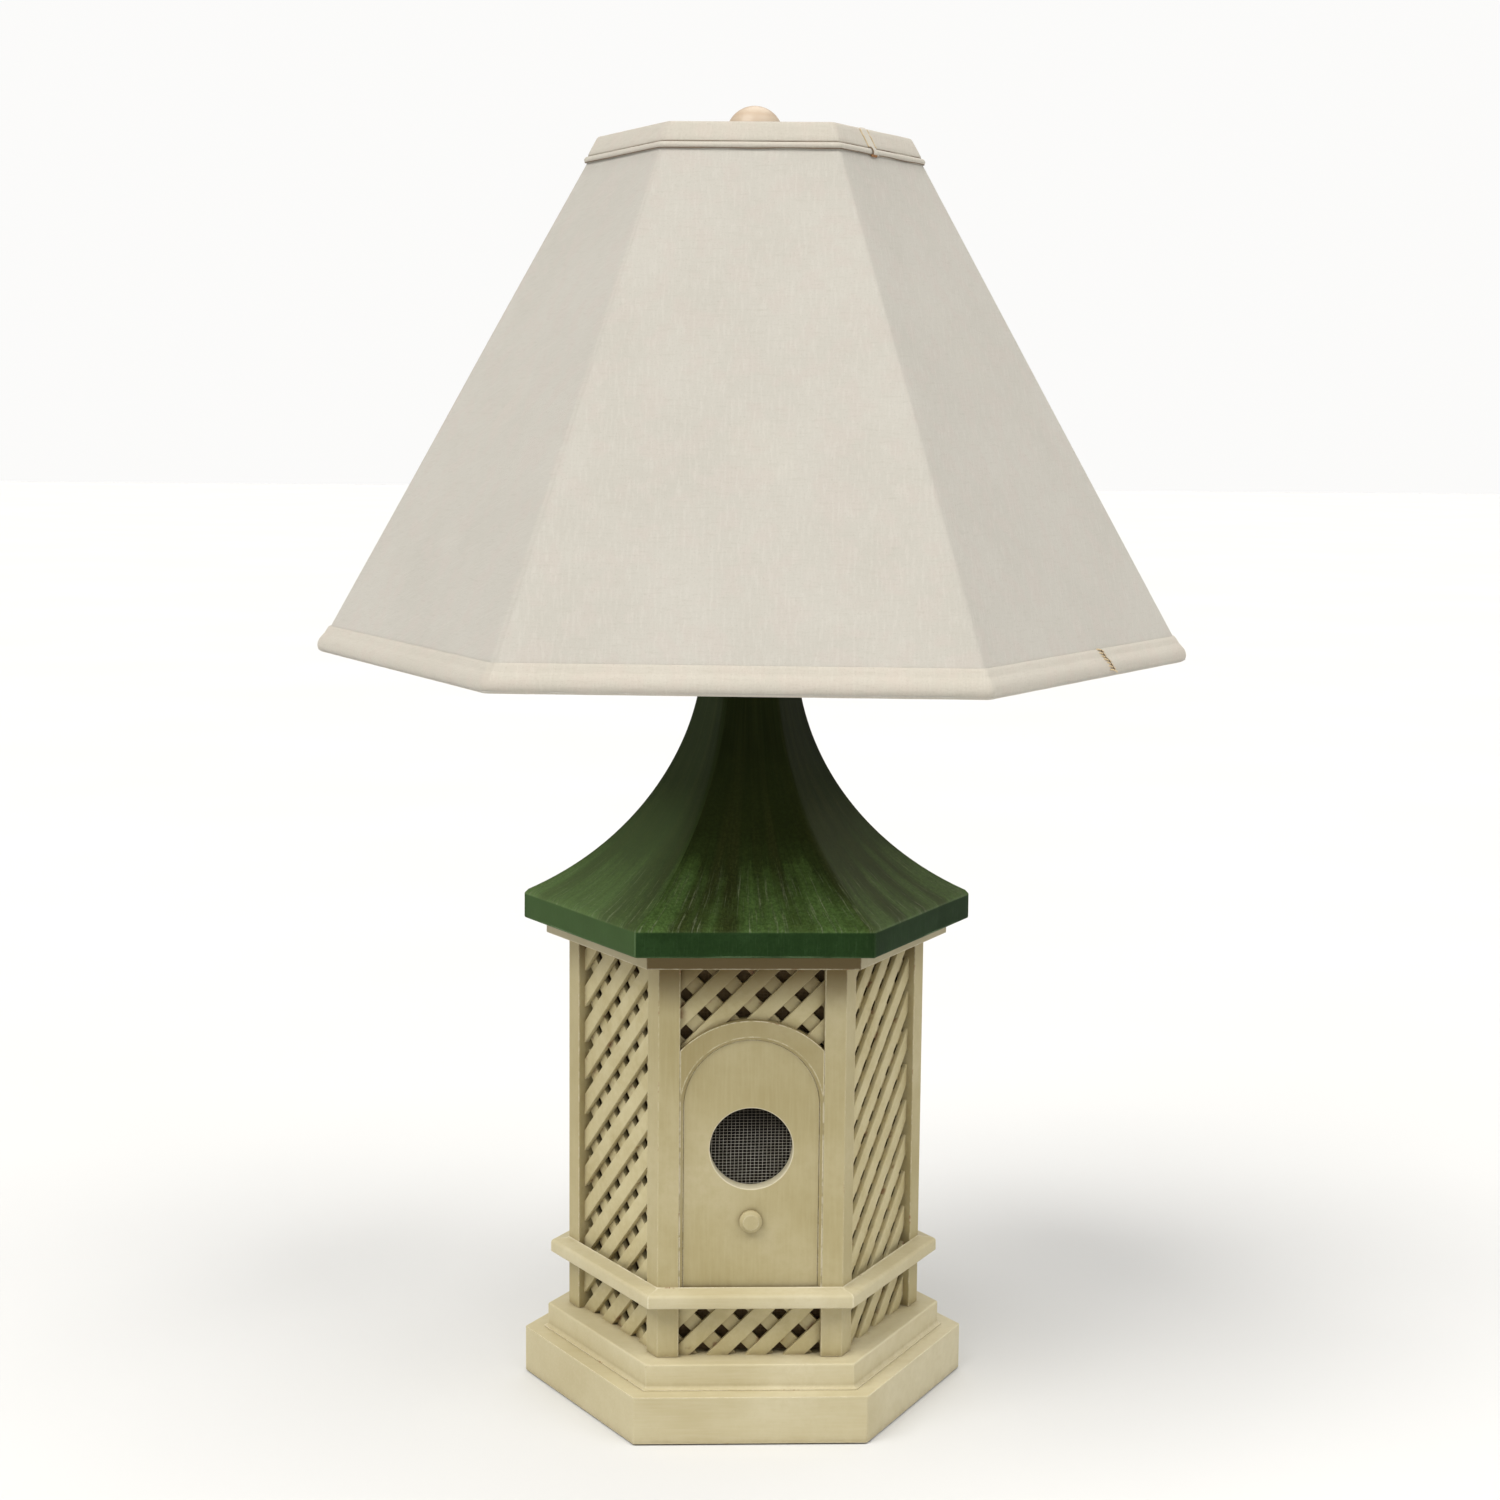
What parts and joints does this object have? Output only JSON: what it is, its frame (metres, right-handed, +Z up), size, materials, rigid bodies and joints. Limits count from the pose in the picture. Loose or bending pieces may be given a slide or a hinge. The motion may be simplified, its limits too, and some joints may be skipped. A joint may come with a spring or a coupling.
{
  "type": "table lamp",
  "caption": "Table lamp: a hexagonal linen shade on a harp over a wooden gazebo base with a pagoda roof, crossed lattice walls, an arched door and a stepped plinth.",
  "frame": {"origin": "middle of the base at the surface that the lamp stands on", "axes": "+Z up along the lamp's pipe, -Y out of the wall with the door, +X to the right of someone facing the door"},
  "size_m": [0.4864, 0.4382, 0.711],
  "materials": {
    "felt": "dense felt",
    "cream_paint": "cream paint, eggshell",
    "green_paint": "green paint, dry-brushed with cream and glazed",
    "finial_paint": "cream paint, satin",
    "brass": "satin",
    "harp_wire": "satin",
    "zinc": "zinc plated",
    "screen_wire": "dull",
    "phenolic": "moulded",
    "bush_plastic": "moulded",
    "bulb_metal": "bright",
    "bulb_glass": "frosted",
    "linen": "slubbed linen weave",
    "trim_linen": "folded linen band",
    "frame_wire": "white powder coat",
    "lining_card": "black cloth on card"
  },
  "bodies": {
    "lamp": {"felt_pad": "felt", "plinth_lower": "cream_paint", "plinth_upper": "cream_paint", "cornice_board": "cream_paint", "door_surround": "cream_paint", "door_panel": "cream_paint", "door_knob": "cream_paint", "lattice_arch": "cream_paint", "lattice_foot": "cream_paint", "corner_post_1": "cream_paint", "corner_post_2": "cream_paint", "corner_post_3": "cream_paint", "corner_post_4": "cream_paint", "corner_post_5": "cream_paint", "corner_post_6": "cream_paint", "lattice_panel_2": "cream_paint", "lattice_panel_3": "cream_paint", "lattice_panel_4": "cream_paint", "lattice_panel_5": "cream_paint", "lattice_panel_6": "cream_paint", "waist_rail_1": "cream_paint", "waist_rail_2": "cream_paint", "waist_rail_3": "cream_paint", "waist_rail_4": "cream_paint", "waist_rail_5": "cream_paint", "waist_rail_6": "cream_paint", "roof": "green_paint", "roof_cap": "brass", "neck_tube": "brass", "socket_cap": "brass", "socket_shell": "brass", "harp_saddle": "brass", "harp": "harp_wire", "lamp_pipe": "zinc", "pipe_washer": "zinc", "pipe_nut": "zinc", "plinth_screws": "zinc", "insect_screen": "screen_wire", "socket_base": "phenolic", "cord_bush": "bush_plastic", "socket_screw_shell": "bulb_metal", "lining_card": "lining_card"},
    "shade": {"shade_panel_1": "linen", "shade_panel_2": "linen", "shade_panel_3": "linen", "shade_panel_4": "linen", "shade_panel_5": "linen", "shade_panel_6": "linen", "shade_top_trim": "trim_linen", "shade_bottom_trim": "trim_linen", "shade_piping": "trim_linen", "shade_rings": "frame_wire", "shade_ribs": "frame_wire", "shade_spider": "frame_wire"},
    "finial": {"finial": "finial_paint"},
    "bulb": {"bulb_base": "bulb_metal", "bulb_glass": "bulb_glass"},
    "switch_key": {"socket_key": "phenolic"},
    "sleeve_left": {"harp_sleeve_left": "brass"},
    "sleeve_right": {"harp_sleeve_right": "brass"}
  },
  "joints": [
    {"name": "shade_turn", "type": "hinge", "parent": "lamp", "child": "shade", "pos_m": [0, 0, 0.6768], "axis": [0, 0, 1], "continuous": true},
    {"name": "finial_turn", "type": "hinge", "parent": "lamp", "child": "finial", "pos_m": [0, 0, 0.684], "axis": [0, 0, 1], "continuous": true},
    {"name": "bulb_turn", "type": "hinge", "parent": "lamp", "child": "bulb", "pos_m": [0, 0, 0.492], "axis": [0, 0, 1], "continuous": true},
    {"name": "switch_turn", "type": "hinge", "parent": "lamp", "child": "switch_key", "pos_m": [0, -0.02, 0.473], "axis": [0, -1, 0], "continuous": true},
    {"name": "sleeve_left_slide", "type": "slide", "parent": "lamp", "child": "sleeve_left", "axis": [0, 0, 1], "range_m": [0, 0.02]},
    {"name": "sleeve_right_slide", "type": "slide", "parent": "lamp", "child": "sleeve_right", "axis": [0, 0, 1], "range_m": [0, 0.02]}
  ]
}
